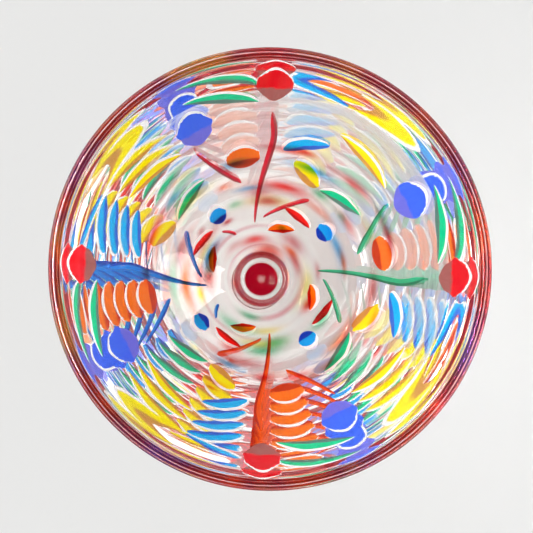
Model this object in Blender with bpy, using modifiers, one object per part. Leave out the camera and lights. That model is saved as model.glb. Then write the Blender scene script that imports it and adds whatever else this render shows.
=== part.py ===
"""Footed glass bowl with raised enamel buds, leaves and vines.

The clear bowl is a turned wall, thin at the lip and thick below. A ruby thread closes its lip.
Below it stand a clear collar, a slim ruby stem, a second collar and a clear disc foot. The enamel
pieces sit on the outside of the wall, in four like sprays a quarter turn apart.

All sizes are in metres, +Z is up, and the origin is under the middle of the foot.
"""
import math

import bmesh
import bpy
import numpy as np
from mathutils import Vector

# ---- Bowl ---------------------------------------------------------------------------------------
RIM_RADIUS = 0.0600           # outside of the lip thread
BOWL_DEPTH = 0.1050           # inside, from the top of the wall to the lowest point
LIP_WALL = 0.0022             # wall thickness at the lip
FLANK_WALL = 0.0052           # wall thickness once it has filled out below the lip
BASE_WALL = 0.0078            # wall thickness over the collar
LIP_LEAN = math.radians(18)   # lean of the wall from upright at the lip
FLANK_PULL = 0.78             # pull of the upright flank on the wall's curve, as a share of the depth
FLOOR_PULL = 0.29             # pull of the level floor, as a share of the inside lip radius
FILL_OUT = 0.20               # share of the wall's length over which it fills out

# ---- Lip thread, collars, stem and foot -----------------------------------------------------------
THREAD_RADIUS = 0.0016        # of the ruby thread's round section
COLLAR_RADIUS = 0.0104
COLLAR_HEIGHT = 0.0032
COLLAR_WAIST = 0.0084         # radius of a collar where it meets its neighbours
STEM_HEIGHT = 0.0360
STEM_END = 0.0068             # radius of the stem's two ends
STEM_WAIST = 0.0048           # radius of the stem's narrow middle
FOOT_RADIUS = 0.0380
FOOT_EDGE = 0.0034            # thickness of the foot at its edge
FOOT_HEIGHT = 0.0090          # height of the foot at its middle
FOOT_NECK = 0.0090            # radius of the foot's flat top
REST_WIDTH = 0.0070           # width of the flat ring that the foot stands on
HOLLOW_RISE = 0.0016          # rise of the hollow inside that ring
EDGE_ROUND = 0.0014           # rounding of the foot's outer edge

# ---- Enamel -------------------------------------------------------------------------------------
ENAMEL_HEIGHT = 0.0010        # how far a full blob of enamel stands proud
VINE_WIDTH = 0.0024           # greatest width of a vine's line
VINE_HEIGHT = 0.0009          # how far it stands proud
VINE_TIP = 0.30               # width of a vine's brushed-out end, as a share of its greatest
VINE_SPREAD = 0.15            # share of a vine's length over which an end fills out
LEAF_TIP = 0.10               # width of a leaf's end, as a share of its greatest
LEAF_FULLNESS = 0.85          # power of the sine along a leaf: lower is fuller
SPRAYS = 4                    # like sprays round the wall
FIRST_SPRAY = math.radians(88)

# ---- Clearance and fineness -----------------------------------------------------------------------
GAP = 0.0003                  # between touching pieces
MERGE = 0.00002               # points closer than this are one
TURN_STEPS = 48               # facets round the bowl, the lip thread and the foot
STEM_STEPS = 28               # facets round the stem and the collars
WALL_RINGS = 15               # rings down each side of the wall
THREAD_SIDES = 8
STEM_RINGS = 8
FOOT_RINGS = 4
BLOB_SIDES = 12
BLOB_RINGS = 6
LEAST_STEPS = 8               # fewest steps along a stroke
STEPS_PER_POINT = 3           # steps between two points of a longer stroke
SAMPLES = 600                 # fine samples behind the wall's arc length


# ---- The wall's curve -----------------------------------------------------------------------------
def wall_curve():
    """Inside of the wall as fine samples: radius, height, direction cosines and arc length.

    A cubic curve runs from the inside of the lip, leaning by LIP_LEAN, to the level floor.
    """
    lip = np.array([wall_lip_radius() - LIP_WALL, wall_top()])
    floor = np.array([0.0, wall_top() - BOWL_DEPTH])
    lean = np.array([-math.sin(LIP_LEAN), -math.cos(LIP_LEAN)])
    flank = lip + FLANK_PULL * BOWL_DEPTH * lean
    level = floor + np.array([FLOOR_PULL * lip[0], 0.0])
    t = np.linspace(0.0, 1.0, SAMPLES)[:, None]
    points = ((1 - t) ** 3 * lip + 3 * t * (1 - t) ** 2 * flank
              + 3 * t ** 2 * (1 - t) * level + t ** 3 * floor)
    slope = 3 * ((1 - t) ** 2 * (flank - lip) + 2 * t * (1 - t) * (level - flank)
                 + t ** 2 * (floor - level))
    slope /= np.linalg.norm(slope, axis=1)[:, None]
    steps = np.linalg.norm(np.diff(points, axis=0), axis=1)
    length = np.concatenate([[0.0], np.cumsum(steps)])
    return points, slope, length


def wall_lip_radius():
    """Outside radius of the wall at its top: the thread's section is centred on the wall."""
    return RIM_RADIUS - THREAD_RADIUS + LIP_WALL / 2


def collar_top():
    """Height of the upper collar's top, where the bowl stands on it."""
    return stem_levels()["upper_collar"] + COLLAR_HEIGHT


def stem_levels():
    """Height of the underside of each piece that stands on the foot."""
    lower_collar = FOOT_HEIGHT + GAP
    stem = lower_collar + COLLAR_HEIGHT + GAP
    upper_collar = stem + STEM_HEIGHT + GAP
    return {"lower_collar": lower_collar, "stem": stem, "upper_collar": upper_collar}


def wall_top():
    """Height of the top of the wall, under the lip thread."""
    return collar_top() + GAP + BASE_WALL + BOWL_DEPTH


def thickness(share):
    """Wall thickness at a share of the way from the lip to the middle of the floor."""
    t = min(share / FILL_OUT, 1.0)
    filled = t * t * (3 - 2 * t)
    return LIP_WALL + (FLANK_WALL - LIP_WALL) * filled + (BASE_WALL - FLANK_WALL) * share ** 3


CURVE, SLOPE, LENGTH = wall_curve()
WALL_LENGTH = LENGTH[-1]


def inside(share):
    """Radius and height of the wall's inside, a share of the way down it."""
    at = share * WALL_LENGTH
    return np.array([np.interp(at, LENGTH, CURVE[:, 0]), np.interp(at, LENGTH, CURVE[:, 1])])


def outward(share):
    """Unit direction out of the wall, as radius and height parts."""
    at = share * WALL_LENGTH
    down = np.array([np.interp(at, LENGTH, SLOPE[:, 0]), np.interp(at, LENGTH, SLOPE[:, 1])])
    return np.array([-down[1], down[0]]) / np.linalg.norm(down)


def outside(share, lift=0.0):
    """Radius and height of the wall's outside, or of a point that far off it."""
    point = inside(share) + (thickness(share) + lift) * outward(share)
    return np.array([max(point[0], 0.0), point[1]])


def under_wall(radius):
    """Height of the wall's outside at a radius in its lower half."""
    shares = np.linspace(1.0, 0.5, SAMPLES)
    points = np.array([outside(share) for share in shares])
    return float(np.interp(radius, points[:, 0], points[:, 1]))


# ---- Scene, materials and turned pieces -----------------------------------------------------------
def clear_scene():
    """Start from an empty scene."""
    for old in list(bpy.data.objects):
        bpy.data.objects.remove(old, do_unlink=True)


def new_collection(name):
    """A collection linked to the scene."""
    collection = bpy.data.collections.new(name)
    bpy.context.scene.collection.children.link(collection)
    return collection


def finish(name, color, roughness, transmission=0.0):
    """A Principled material with a colour, a roughness and a share of light let through."""
    material = bpy.data.materials.new(name)
    material.use_nodes = True
    shader = material.node_tree.nodes["Principled BSDF"]
    shader.inputs["Base Color"].default_value = (*color, 1.0)
    shader.inputs["Roughness"].default_value = roughness
    shader.inputs["Metallic"].default_value = 0.0
    shader.inputs["Transmission Weight"].default_value = transmission
    return material


def add_object(name, mesh, collection, material):
    """Put a mesh in the collection as one named piece."""
    piece = bpy.data.objects.new(name, mesh)
    piece.data.materials.append(material)
    collection.objects.link(piece)
    return piece


def turned(name, profile, collection, material, steps=TURN_STEPS, closed=False):
    """A profile at +X, run down its outer side, turned round the Z axis."""
    mesh = bpy.data.meshes.new(name)
    verts = [(radius, 0.0, height) for radius, height in profile]
    edges = [(i, i + 1) for i in range(len(verts) - 1)]
    if closed:
        edges.append((len(verts) - 1, 0))
    mesh.from_pydata(verts, edges, [])
    piece = add_object(name, mesh, collection, material)
    screw = piece.modifiers.new("turn", "SCREW")
    screw.axis = "Z"
    screw.steps = steps
    screw.render_steps = steps
    screw.use_merge_vertices = True
    screw.merge_threshold = MERGE
    screw.use_smooth_shade = True
    return piece


def arc(centre, radius, start, end, count):
    """Points on an arc in the profile plane; angles in degrees, 0 outwards and 90 up."""
    angles = np.radians(np.linspace(start, end, count))
    return [(centre[0] + radius * math.cos(a), centre[1] + radius * math.sin(a)) for a in angles]


# ---- Glass pieces ---------------------------------------------------------------------------------
def make_bowl(collection, material):
    """The bowl: up the inside of the wall from the axis, and down its outside to the axis."""
    shares = [i / WALL_RINGS for i in range(WALL_RINGS + 1)]
    inner = [tuple(inside(share)) for share in reversed(shares)]
    outer = [tuple(outside(share)) for share in shares]
    inner[0] = (0.0, inner[0][1])
    outer[-1] = (0.0, outer[-1][1])
    return turned("bowl", inner + outer, collection, material)


def make_lip_thread(collection, material):
    """The ruby thread: a round section turned along the top of the wall."""
    centre = (RIM_RADIUS - THREAD_RADIUS, wall_top() + GAP + THREAD_RADIUS)
    section = arc(centre, THREAD_RADIUS, 90, -270, THREAD_SIDES + 1)[:-1]
    return turned("lip_thread", section, collection, material, closed=True)


def collar_profile(base, top_points):
    """A collar from its top points down a rounded edge to its flat base."""
    middle = base + COLLAR_HEIGHT / 2
    angles = [math.radians(degrees) for degrees in range(30, 180, 30)]
    bulge = [(COLLAR_WAIST + (COLLAR_RADIUS - COLLAR_WAIST) * math.sin(angle),
              middle + (COLLAR_HEIGHT / 2) * math.cos(angle)) for angle in angles]
    return top_points + bulge + [(COLLAR_WAIST, base), (0.0, base)]


def make_upper_collar(collection, material):
    """Clear collar whose dished top follows the underside of the bowl."""
    base = stem_levels()["upper_collar"]
    radii = [0.0, COLLAR_WAIST / 3, 2 * COLLAR_WAIST / 3, COLLAR_WAIST]
    top = [(radius, under_wall(radius) - GAP) for radius in radii]
    return turned("upper_collar", collar_profile(base, top), collection, material, STEM_STEPS)


def make_lower_collar(collection, material):
    """Clear collar between the stem and the foot."""
    base = stem_levels()["lower_collar"]
    top = [(0.0, base + COLLAR_HEIGHT), (COLLAR_WAIST, base + COLLAR_HEIGHT)]
    return turned("lower_collar", collar_profile(base, top), collection, material, STEM_STEPS)


def make_stem(collection, material):
    """The slim ruby stem: a gentle waist between two wider ends."""
    base = stem_levels()["stem"]
    profile = [(0.0, base + STEM_HEIGHT)]
    for i in range(STEM_RINGS + 1):
        share = i / STEM_RINGS
        narrowing = math.sin(math.pi * share)
        radius = STEM_END - (STEM_END - STEM_WAIST) * narrowing
        profile.append((radius, base + STEM_HEIGHT * (1 - share)))
    profile.append((0.0, base))
    return turned("stem", profile, collection, material, STEM_STEPS)


def make_foot(collection, material):
    """The disc foot: a shallow cone above, a flat rest ring and a slight hollow below."""
    rest_inner = FOOT_RADIUS - EDGE_ROUND - REST_WIDTH
    profile = [(0.0, FOOT_HEIGHT), (FOOT_NECK, FOOT_HEIGHT)]
    reach = FOOT_RADIUS - EDGE_ROUND - FOOT_NECK
    for i in range(1, FOOT_RINGS + 1):
        share = i / FOOT_RINGS
        fall = (FOOT_HEIGHT - FOOT_EDGE) * (1 - (1 - share) ** 2)
        profile.append((FOOT_NECK + reach * share, FOOT_HEIGHT - fall))
    profile += arc((FOOT_RADIUS - EDGE_ROUND, FOOT_EDGE - EDGE_ROUND), EDGE_ROUND, 60, 0, 3)
    profile += arc((FOOT_RADIUS - EDGE_ROUND, EDGE_ROUND), EDGE_ROUND, 0, -90, 4)
    for i in range(FOOT_RINGS):
        share = i / FOOT_RINGS
        radius = rest_inner * (1 - share)
        profile.append((radius, HOLLOW_RISE * (1 - (1 - share) ** 2)))
    profile.append((0.0, HOLLOW_RISE))
    return turned("foot", profile, collection, material)


# ---- Enamel pieces --------------------------------------------------------------------------------
def wrap(mesh, azimuth):
    """Lay a flat mesh on the wall.

    Its x is the distance round the wall from the azimuth, its y the distance down the wall from
    the lip, and its z the height off the wall, to which the clearance is added.
    """
    for vert in mesh.vertices:
        share = vert.co.y / WALL_LENGTH
        radius = outside(share)[0]
        angle = azimuth + vert.co.x / radius
        point = outside(share, GAP + vert.co.z)
        vert.co = Vector((point[0] * math.cos(angle), point[0] * math.sin(angle), point[1]))
    mesh.flip_normals()
    mesh.shade_smooth()
    mesh.update()


def blob(name, spray_azimuth, outline, collection, material):
    """A domed drop of enamel.

    The outline's offset and half_width are degrees round the wall, its share and half_drop are
    shares of the wall's length, pinch draws it in towards a point at the top and the bottom, and
    slant is how far it leans down the wall for each step round it.
    """
    offset, share, half_width, half_drop, pinch, slant = outline
    azimuth = spray_azimuth + math.radians(offset)
    reach = math.radians(half_width) * outside(share)[0]
    drop = half_drop * WALL_LENGTH
    work = bmesh.new()
    bmesh.ops.create_uvsphere(work, u_segments=BLOB_SIDES, v_segments=BLOB_RINGS, radius=1.0)
    for vert in work.verts:
        x, y, z = vert.co
        narrowed = x * (1 - pinch * y * y)
        round_wall = reach * narrowed
        down_wall = share * WALL_LENGTH + drop * y + slant * round_wall
        vert.co = (round_wall, down_wall, ENAMEL_HEIGHT * max(z, 0.0))
    mesh = bpy.data.meshes.new(name)
    work.to_mesh(mesh)
    work.free()
    wrap(mesh, azimuth)
    return add_object(name, mesh, collection, material)


def stroke(name, spray_azimuth, path, width, height, taper, collection, material):
    """A brushed stroke of enamel along a path of (degrees, share) points.

    width is its greatest width, and taper(t) its share of that from one end (0) to the other (1).
    """
    azimuth = spray_azimuth + math.radians(path[0][0])
    flat = [Vector((math.radians(degrees - path[0][0]) * outside(share)[0], share * WALL_LENGTH, 0))
            for degrees, share in path]
    count = max(LEAST_STEPS, STEPS_PER_POINT * (len(flat) - 1))
    points = [along(flat, i / count) for i in range(count + 1)]
    curve = bpy.data.curves.new(name, "CURVE")
    curve.dimensions = "3D"
    curve.twist_mode = "Z_UP"
    curve.bevel_depth = width / 2
    curve.bevel_resolution = 2
    curve.use_fill_caps = True
    spline = curve.splines.new("POLY")
    spline.points.add(count)
    for i, point in enumerate(points):
        spline.points[i].co = (*point, 1.0)
        spline.points[i].radius = taper(i / count)
    guide = bpy.data.objects.new(name + "_path", curve)
    collection.objects.link(guide)
    graph = bpy.context.evaluated_depsgraph_get()
    mesh = bpy.data.meshes.new_from_object(guide.evaluated_get(graph))
    bpy.data.objects.remove(guide, do_unlink=True)
    work = bmesh.new()
    work.from_mesh(mesh)
    bmesh.ops.remove_doubles(work, verts=work.verts, dist=MERGE)
    for vert in work.verts:
        vert.co.z = max(vert.co.z, 0.0) * height / (width / 2)
    bmesh.ops.recalc_face_normals(work, faces=work.faces)
    work.to_mesh(mesh)
    work.free()
    mesh.name = name
    mesh.materials.clear()
    wrap(mesh, azimuth)
    return add_object(name, mesh, collection, material)


def along(points, t):
    """Point at t (0 to 1) on a smooth curve through the points (Catmull-Rom)."""
    spans = len(points) - 1
    index = min(int(t * spans), spans - 1)
    u = t * spans - index
    p1, p2 = points[index], points[index + 1]
    p0 = points[index - 1] if index > 0 else 2 * p1 - p2
    p3 = points[index + 2] if index + 2 <= spans else 2 * p2 - p1
    return 0.5 * (2 * p1 + (p2 - p0) * u + (2 * p0 - 5 * p1 + 4 * p2 - p3) * u * u
                  + (3 * p1 - p0 - 3 * p2 + p3) * u ** 3)


def leaf_taper(t):
    """Pointed at both ends and full in the middle."""
    return max(math.sin(math.pi * t) ** LEAF_FULLNESS, LEAF_TIP)


def vine_taper(t):
    """Full along its length, with brushed-out ends."""
    from_end = min(t, 1 - t)
    return min(1.0, VINE_TIP + (1 - VINE_TIP) * from_end / VINE_SPREAD)


def make_spray(number, collection, paints):
    """One spray of bud, drop, berries, leaves and vines, a quarter of the way round."""
    start = FIRST_SPRAY + math.tau * (number - 1) / SPRAYS

    def drop(kind, outline, paint):
        blob(f"{kind}_{number}", start, outline, collection, paints[paint])

    def leaf(kind, path, broad, paint):
        name = f"{kind}_{number}"
        stroke(name, start, path, broad * WALL_LENGTH, ENAMEL_HEIGHT, leaf_taper, collection,
               paints[paint])

    def vine(kind, path):
        name = f"{kind}_{number}"
        stroke(name, start, path, VINE_WIDTH, VINE_HEIGHT, vine_taper, collection,
               paints[f"vine_{number}"])

    # Degrees from the bud, shares of the way down the wall, half width, half drop, pinch, slant.
    drop("bud", (0.0, 0.167, 5.8, 0.088, 0.35, 0.0), "red")
    drop("blue_drop", (28.8, 0.319, 6.8, 0.088, 0.25, 0.0), "royal_blue")
    drop("orange_berry", (12.5, 0.550, 8.4, 0.052, 0.05, 0.0), "orange")
    drop("yellow_berry", (69.0, 0.600, 8.4, 0.044, 0.05, -0.7), "yellow")
    drop("blue_berry", (38.0, 0.773, 7.2, 0.034, 0.10, 0.0), "deep_blue")
    leaf("upper_leaf", [(4.8, 0.260), (17.0, 0.213), (29.5, 0.167)], 0.051, "green")
    leaf("yellow_leaf", [(37.5, 0.399), (51.0, 0.370), (64.0, 0.339)], 0.051, "yellow")
    leaf("sky_leaf", [(65.7, 0.416), (75.0, 0.461), (83.5, 0.512)], 0.048, "sky_blue")
    leaf("lower_leaf", [(34.0, 0.584), (46.5, 0.616), (59.0, 0.643)], 0.044, "green")
    leaf("red_petal", [(48.5, 0.807), (61.0, 0.799), (75.0, 0.785)], 0.029, "scarlet")
    leaf("orange_petal", [(58.0, 0.849), (71.0, 0.865), (85.0, 0.881)], 0.029, "flame")
    vine("vine", [(0.0, 0.330), (-1.5, 0.464), (1.0, 0.596), (5.0, 0.732), (9.5, 0.856)])
    vine("branch", [(15.5, 0.675), (22.0, 0.616), (28.0, 0.534), (32.0, 0.445)])


def enamel_paints():
    """The enamel colours by name, and each spray's vine colour."""
    paints = {
        "red": finish("enamel_red", (0.58, 0.010, 0.020), 0.18),
        "scarlet": finish("enamel_scarlet", (0.72, 0.012, 0.008), 0.18),
        "royal_blue": finish("enamel_royal_blue", (0.030, 0.120, 0.800), 0.18),
        "deep_blue": finish("enamel_deep_blue", (0.005, 0.130, 0.680), 0.18),
        "sky_blue": finish("enamel_sky_blue", (0.010, 0.360, 0.780), 0.18),
        "green": finish("enamel_green", (0.010, 0.400, 0.190), 0.18),
        "yellow": finish("enamel_yellow", (0.900, 0.720, 0.005), 0.18),
        "orange": finish("enamel_orange", (0.860, 0.140, 0.010), 0.18),
        "flame": finish("enamel_flame", (0.850, 0.085, 0.005), 0.18),
    }
    vine_colors = [(0.500, 0.015, 0.030), (0.030, 0.220, 0.620), (0.720, 0.090, 0.010),
                   (0.050, 0.300, 0.150)]
    for number, color in enumerate(vine_colors, start=1):
        paints[f"vine_{number}"] = finish(f"enamel_vine_{number}", color, 0.22)
    return paints


def main():
    """Make every piece."""
    clear_scene()
    collection = new_collection("footed_glass_bowl")
    clear = finish("clear_glass", (0.95, 0.97, 0.97), 0.02, transmission=1.0)
    ruby = finish("ruby_glass", (0.42, 0.005, 0.030), 0.02, transmission=0.8)
    make_bowl(collection, clear)
    make_lip_thread(collection, ruby)
    make_upper_collar(collection, clear)
    make_stem(collection, ruby)
    make_lower_collar(collection, clear)
    make_foot(collection, clear)
    paints = enamel_paints()
    for number in range(1, SPRAYS + 1):
        make_spray(number, collection, paints)


main()
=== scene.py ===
"""Looks of the footed glass bowl with raised enamel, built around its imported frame.

The clear bowl, its ruby lip thread, collars, stem and foot are turned surfaces, and every enamel
piece is a brushed stroke or drop laid on the outside of the wall. Sizes are in metres, +Z is up.
"""

import math

import bpy
import numpy as np
from bpy.props import FloatProperty, FloatVectorProperty, PointerProperty
from bpy.types import Operator, Panel, PropertyGroup
from mathutils import Matrix, Vector


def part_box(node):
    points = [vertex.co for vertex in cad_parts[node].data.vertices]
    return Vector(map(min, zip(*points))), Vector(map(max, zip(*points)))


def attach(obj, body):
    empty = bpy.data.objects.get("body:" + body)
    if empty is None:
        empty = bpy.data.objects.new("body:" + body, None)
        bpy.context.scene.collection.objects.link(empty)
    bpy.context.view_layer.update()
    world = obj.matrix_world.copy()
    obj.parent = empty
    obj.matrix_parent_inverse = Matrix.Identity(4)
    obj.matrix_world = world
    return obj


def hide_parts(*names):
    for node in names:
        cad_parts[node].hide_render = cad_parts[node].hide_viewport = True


bl_info = {
    "name": "Footed Enamelled Glass Bowl",
    "version": (1, 0, 0),
    "blender": (4, 5, 0),
    "location": "View3D > Sidebar > Glass Bowl",
    "description": "Clear blown bowl on a ruby stem, with raised enamel sprays",
    "category": "Object",
}

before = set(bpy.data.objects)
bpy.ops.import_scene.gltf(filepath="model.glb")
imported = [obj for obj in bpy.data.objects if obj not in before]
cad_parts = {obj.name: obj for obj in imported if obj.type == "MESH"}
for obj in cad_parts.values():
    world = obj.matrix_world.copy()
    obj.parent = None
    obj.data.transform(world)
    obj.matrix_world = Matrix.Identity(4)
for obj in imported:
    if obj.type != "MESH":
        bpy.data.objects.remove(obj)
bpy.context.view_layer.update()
THREAD_LOW, THREAD_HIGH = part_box("lip_thread")
BOWL_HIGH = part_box("bowl")[1]
UPPER_LOW, UPPER_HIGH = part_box("upper_collar")
STEM_LOW, STEM_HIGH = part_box("stem")
LOWER_LOW, LOWER_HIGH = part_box("lower_collar")
FOOT_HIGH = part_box("foot")[1]

# Fineness of the meshes
TURN_COLUMNS = 216            # faces round the bowl and the lip thread
STEM_COLUMNS = 96             # faces round the stem and the collars
FOOT_COLUMNS = 160
COLLAR_ROWS = 18              # faces down a collar's side
STEM_ROWS = 59
FOOT_TOP_ROWS = 39
FOOT_HOLLOW_ROWS = 23
WALL_ROWS = 200               # faces down each side of the wall
LIP_ROWS = 12                 # faces over the wall's round lip
THREAD_POINTS = 72            # points round the thread's section
STROKE_ROWS = 43              # faces along a stroke or a drop
STROKE_COLUMNS = 28           # faces round it
CURVE_SAMPLES = 2000          # fine samples behind the wall's arc length
TINY = 1e-9

# Glass
GLASS_IOR = 1.5
INNER_IOR = 1.64              # bend met by light that runs inside the wall
INSIDE_SKIN_IOR = 1.12        # strength of what the wall's inside mirrors
OUTSIDE_SKIN_IOR = 1.3        # the same for its outside
WALL_GLOW_LIGHT = 0.05                   # painted glow: light that the lower wall gives off of its own
JOINT_RADIUS = 0.0072         # of the melted joints between bowl, collars and stem
MELTED_RADIUS = 0.999 * JOINT_RADIUS   # of a collar's face inside its joint
CORE_RADIUS = 0.0018          # of the stem's pale core
RIPPLES = 18                  # turning ripples down the wall
THREAD_RIBS = 9               # fine ribs round the thread's section, and painted highlight lines
WHITE = (1.0, 1.0, 1.0, 1.0)
LIGHT_BOUNCES = 64

# Enamel
BACKLIGHT = 0.30              # painted glow of the enamel, for light from the bright surround
DOME_POWER = 2.6              # of the enamel's section: higher is flatter on top
FLUX_MARK = -1.3              # mark "side" on the clear flux of a drop
SPRAYS = 4                    # like sprays round the wall
HAND_SEED = 11                # of the random draws that make each stroke differ

# Painted light in the lower wall: coloured shadows of the enamel and images of the ruby stem
PAINTED_SHADOW_CLOUDS = 84                   # painted coloured shadows: soft clouds of the enamel's colours
# painted images of the ruby stem, seen as rings round it through the thick glass
PAINTED_STEM_RINGS = [   # from radius, to radius, strongest side in degrees, strength
    (0.0074, 0.0094, 250, 0.90),
    (0.0112, 0.0142, 305, 0.60),
    (0.0064, 0.0094, 95, 0.75),
    (0.0100, 0.0114, 120, 0.50),
    (0.0155, 0.0175, 130, 0.45),
    (0.0185, 0.0205, 220, 0.30),
]


# ---- Settings -----------------------------------------------------------------------------------
def length(name, description, default):
    """A length property."""
    return FloatProperty(name=name, description=description, default=default, min=0.0,
                         unit="LENGTH", precision=5)


def position(name, description, default):
    """A position property, in metres."""
    return FloatVectorProperty(name=name, description=description, default=default, size=3,
                               subtype="TRANSLATION", unit="LENGTH")


def share(name, description, default):
    """A property that is a share from 0 to 1."""
    return FloatProperty(name=name, description=description, default=default, min=0.0, max=1.0,
                         subtype="FACTOR")


def angle(name, description, degrees):
    """An angle property, given in degrees."""
    return FloatProperty(name=name, description=description, default=math.radians(degrees),
                         unit="ROTATION")


def amount(name, description, default):
    """A plain number property."""
    return FloatProperty(name=name, description=description, default=default, min=0.0)


def color(name, description, default):
    """A colour property, in linear light."""
    return FloatVectorProperty(name=name, description=description, default=default, size=3,
                               min=0.0, max=1.0, subtype="COLOR")


class BowlSizes(PropertyGroup):
    """Sizes of the bowl and its lip thread."""

    rim_radius: length("Rim Radius", "Outside of the lip thread", THREAD_HIGH.x)
    thread_radius: length("Thread Radius", "Section of the lip thread",
                          (THREAD_HIGH.z - THREAD_LOW.z) / 2)
    wall_top: length("Wall Top", "Height of the top of the wall", BOWL_HIGH.z)
    depth: length("Depth", "Inside depth below the top of the wall", 0.105)
    lip_wall: length("Lip Wall", "Wall thickness at the lip", 0.0022)
    flank_wall: length("Flank Wall", "Wall thickness once it has filled out", 0.0052)
    base_wall: length("Base Wall", "Wall thickness over the collar", 0.0078)
    lip_lean: angle("Lip Lean", "Lean of the wall from upright at the lip", 18)
    flank_pull: share("Flank Pull", "Pull of the steep flank on the wall's curve", 0.78)
    floor_pull: share("Floor Pull", "Pull of the level floor on the wall's curve", 0.29)
    fill_out: share("Fill Out", "Share of the wall's length over which it thickens", 0.20)
    ripple: length("Ripple", "Height of the turning ripples on the inside", 0.000004)
    thread_ribs: share("Thread Ribs", "Half depth of the thread's fine ribs", 0.025)
    melt: length("Melt", "How far the thread has melted into the wall's top", 0.0001)


class StandSizes(PropertyGroup):
    """Sizes of the collars, stem and foot."""

    collar_waist: length("Collar Waist", "Radius of a collar where it meets its neighbours", 0.0084)
    collar_radius: length("Collar Radius", "Widest radius of a collar", UPPER_HIGH.x)
    collar_height: length("Collar Height", "Height of a collar's side",
                          LOWER_HIGH.z - LOWER_LOW.z)
    stem_end: length("Stem End", "Radius of the stem's two ends", STEM_HIGH.x)
    stem_waist: length("Stem Waist", "Radius of the stem's narrow middle", 0.0048)
    foot_radius: length("Foot Radius", "Outside of the foot", FOOT_HIGH.x)
    foot_edge: length("Foot Edge", "Thickness of the foot at its edge", 0.0034)
    foot_neck: length("Foot Neck", "Radius of the foot's flat top", 0.009)
    edge_round: length("Edge Round", "Rounding of the foot's outer edge", 0.0014)
    rest_width: length("Rest Width", "Width of the flat ring underneath", 0.007)
    hollow_rise: length("Hollow Rise", "Rise of the hollow inside the ring", 0.0016)


class EnamelSizes(PropertyGroup):
    """Sizes of the brushed enamel."""

    height: length("Height", "How far a full drop stands proud", 0.0010)
    vine_width: length("Vine Width", "Width of the vine lines", 0.0022)
    vine_height: length("Vine Height", "How far a vine stands proud", 0.0009)
    flux: length("Flux", "Clear edge of flux on the upper side of each piece", 0.0017)
    sink: length("Sink", "How far the fired enamel has sunk into the wall", 0.00012)
    first_spray: angle("First Spray", "Place of the first bud round the wall", 88)
    waver: share("Waver", "Unevenness of the brush", 0.07)


class GlassColors(PropertyGroup):
    """Colours of the glass and of the enamel, each enamel with a darker painted shade for its lower
    side.
    """

    clear: color("Clear", "Clear glass of the collars and the foot", (0.94, 0.965, 0.96))
    ruby: color("Ruby", "Stem", (0.62, 0.004, 0.035))
    ruby_core: color("Ruby Core", "Core of the stem", (0.92, 0.72, 0.70))
    # painted image of the ruby stem, seen as faint rings through the thick glass
    ring: color("Ring", "Faint rings round the stem", (0.70, 0.06, 0.14))
    blush: color("Blush", "Faint tint of the lower wall", (0.970, 0.880, 0.860))
    # painted highlight: the pale colour of the fine lines along the thread's ribs
    thread_highlight: color("Thread Light", "Lip thread, fine lines", (1.0, 0.86, 0.88))
    # ruby is the thread's own glass; violet, flame and amber stand in for enamel colours carried in
    # the wall
    thread_violet: color("Thread Violet", "Lip thread, first tone", (0.36, 0.22, 0.56))
    thread_ruby: color("Thread Ruby", "Lip thread, second tone", (0.46, 0.12, 0.19))
    thread_flame: color("Thread Flame", "Lip thread, third tone", (0.76, 0.20, 0.10))
    thread_amber: color("Thread Amber", "Lip thread, fourth tone", (0.74, 0.42, 0.14))
    # the second colour of each enamel below is painted shade: the darker lower side of its dome
    red: color("Red", "Buds", (0.750, 0.004, 0.012))
    red_shade: color("Red Deep", "Buds, lower side", (0.340, 0.100, 0.090))
    scarlet: color("Scarlet", "Red petals", (0.850, 0.006, 0.004))
    scarlet_shade: color("Scarlet Deep", "Red petals, lower side", (0.420, 0.000, 0.000))
    royal_blue: color("Royal Blue", "Blue drops", (0.040, 0.130, 0.880))
    royal_blue_shade: color("Royal Blue Deep", "Blue drops, lower side", (0.140, 0.150, 0.740))
    deep_blue: color("Deep Blue", "Blue berries", (0.000, 0.340, 0.900))
    deep_blue_shade: color("Deep Blue Deep", "Blue berries, lower side", (0.000, 0.030, 0.420))
    sky_blue: color("Sky Blue", "Sky blue leaves", (0.000, 0.440, 0.920))
    sky_blue_shade: color("Sky Blue Deep", "Sky blue leaves, lower side", (0.020, 0.130, 0.660))
    green: color("Green", "Green leaves", (0.000, 0.580, 0.250))
    green_shade: color("Green Deep", "Green leaves, lower side", (0.090, 0.200, 0.160))
    yellow: color("Yellow", "Yellow leaves and berries", (1.000, 0.830, 0.000))
    yellow_shade: color("Yellow Deep", "Yellow pieces, lower side", (0.620, 0.280, 0.050))
    orange: color("Orange", "Orange berries", (0.920, 0.160, 0.010))
    orange_shade: color("Orange Deep", "Orange berries, lower side", (0.550, 0.035, 0.005))
    flame: color("Flame", "Orange petals", (0.960, 0.150, 0.000))
    flame_shade: color("Flame Deep", "Orange petals, lower side", (0.500, 0.004, 0.000))
    vine_red: color("Vine Red", "Vines of the first spray", (0.620, 0.010, 0.030))
    vine_red_shade: color("Vine Red Deep", "The same, lower side", (0.320, 0.040, 0.050))
    vine_blue: color("Vine Blue", "Vines of the second spray", (0.010, 0.200, 0.720))
    vine_blue_shade: color("Vine Blue Deep", "The same, lower side", (0.010, 0.060, 0.420))
    vine_orange: color("Vine Orange", "Vines of the third spray", (0.800, 0.080, 0.006))
    vine_orange_shade: color("Vine Orange Deep", "The same, lower side", (0.500, 0.020, 0.004))
    vine_green: color("Vine Green", "Vines of the fourth spray", (0.030, 0.400, 0.190))
    vine_green_shade: color("Vine Green Deep", "The same, lower side", (0.020, 0.180, 0.090))


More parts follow.
